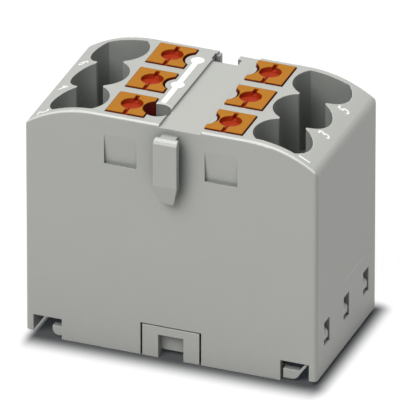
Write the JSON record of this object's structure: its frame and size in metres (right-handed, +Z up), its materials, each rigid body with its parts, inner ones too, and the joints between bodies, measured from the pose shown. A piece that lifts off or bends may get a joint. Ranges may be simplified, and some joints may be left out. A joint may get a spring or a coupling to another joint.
{
  "type": "power distribution block",
  "caption": "Push-in power distribution block: arched moulded housing with two banks of wire funnels and release buttons, a front hook, a rear slot and a clip-in base.",
  "frame": {"origin": "centre of the underside, midway between the front and rear faces of the housing", "axes": "+X along the length towards the bank with odd numbers, +Y from the hook face to the rear face, +Z up"},
  "size_m": [0.0286, 0.0171, 0.0244],
  "materials": {
    "housing_plastic": "satin grey polyamide moulding",
    "button_plastic": "satin orange polyamide moulding",
    "copper_bar": "tin-plated copper strip",
    "spring_steel": "rolled stainless spring strip"
  },
  "bodies": {
    "block": {"housing": "housing_plastic", "base_cover": "housing_plastic", "current_bar": "copper_bar", "clamp_spring_1": "spring_steel", "clamp_spring_2": "spring_steel", "clamp_spring_3": "spring_steel", "clamp_spring_4": "spring_steel", "clamp_spring_5": "spring_steel", "clamp_spring_6": "spring_steel"},
    "button_1": {"release_button_1": "button_plastic"},
    "button_2": {"release_button_2": "button_plastic"},
    "button_3": {"release_button_3": "button_plastic"},
    "button_4": {"release_button_4": "button_plastic"},
    "button_5": {"release_button_5": "button_plastic"},
    "button_6": {"release_button_6": "button_plastic"}
  },
  "joints": [
    {"name": "button_1_press", "type": "slide", "parent": "block", "child": "button_1", "axis": [0, 0, -1], "range_m": [0, 0.0015], "stiffness_N_per_m": 800, "springref_m": -0.0005, "deforming": ["clamp_spring_1"]},
    {"name": "button_2_press", "type": "slide", "parent": "block", "child": "button_2", "axis": [0, 0, -1], "range_m": [0, 0.0015], "stiffness_N_per_m": 800, "springref_m": -0.0005, "deforming": ["clamp_spring_2"]},
    {"name": "button_3_press", "type": "slide", "parent": "block", "child": "button_3", "axis": [0, 0, -1], "range_m": [0, 0.0015], "stiffness_N_per_m": 800, "springref_m": -0.0005, "deforming": ["clamp_spring_3"]},
    {"name": "button_4_press", "type": "slide", "parent": "block", "child": "button_4", "axis": [0, 0, -1], "range_m": [0, 0.0015], "stiffness_N_per_m": 800, "springref_m": -0.0005, "deforming": ["clamp_spring_4"]},
    {"name": "button_5_press", "type": "slide", "parent": "block", "child": "button_5", "axis": [0, 0, -1], "range_m": [0, 0.0015], "stiffness_N_per_m": 800, "springref_m": -0.0005, "deforming": ["clamp_spring_5"]},
    {"name": "button_6_press", "type": "slide", "parent": "block", "child": "button_6", "axis": [0, 0, -1], "range_m": [0, 0.0015], "stiffness_N_per_m": 800, "springref_m": -0.0005, "deforming": ["clamp_spring_6"]}
  ]
}
